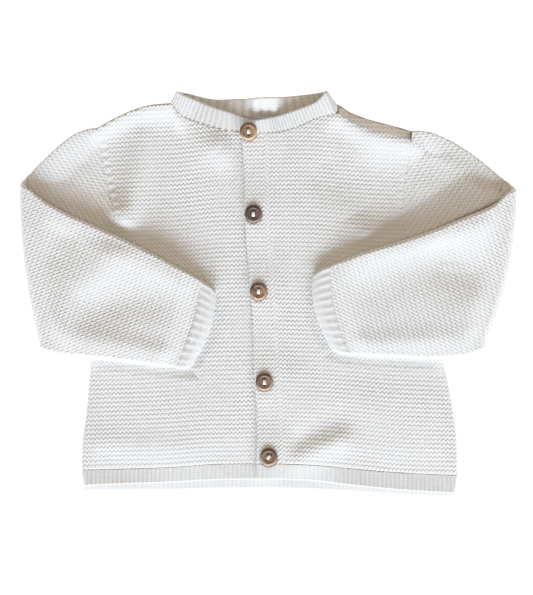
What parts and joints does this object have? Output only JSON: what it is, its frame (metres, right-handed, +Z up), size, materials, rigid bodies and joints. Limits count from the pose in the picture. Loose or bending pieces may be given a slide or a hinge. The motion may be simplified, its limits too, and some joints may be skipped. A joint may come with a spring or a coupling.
{
  "type": "knit baby cardigan",
  "caption": "Long-sleeved garter-stitch cardigan with ribbed neck, cuffs and hem, buttoned and laid flat with both sleeves folded across the fronts.",
  "frame": {"origin": "on the surface it lies on, under the middle of its bounding box", "axes": "+Y towards the neck, +X towards the wearer's left sleeve, +Z up out of the surface"},
  "size_m": [0.3598, 0.2944, 0.0152],
  "materials": {
    "garter": "matt off-white yarn in garter stitch",
    "ribbing": "the same off-white yarn in one by one rib",
    "button_wood": "turned and lightly polished, with fine dark grain"
  },
  "bodies": {
    "root": {"back": "garter", "front_right": "garter", "front_left": "garter", "button_band": "garter", "buttonhole_band": "garter", "hem_back": "ribbing", "hem_front_right": "ribbing", "hem_front_left": "ribbing", "neckband": "ribbing", "sleeve_right": "garter", "cuff_right": "ribbing", "sleeve_left": "garter", "cuff_left": "ribbing", "button_1": "button_wood", "button_2": "button_wood", "button_3": "button_wood", "button_4": "button_wood", "button_5": "button_wood"}
  },
  "joints": []
}
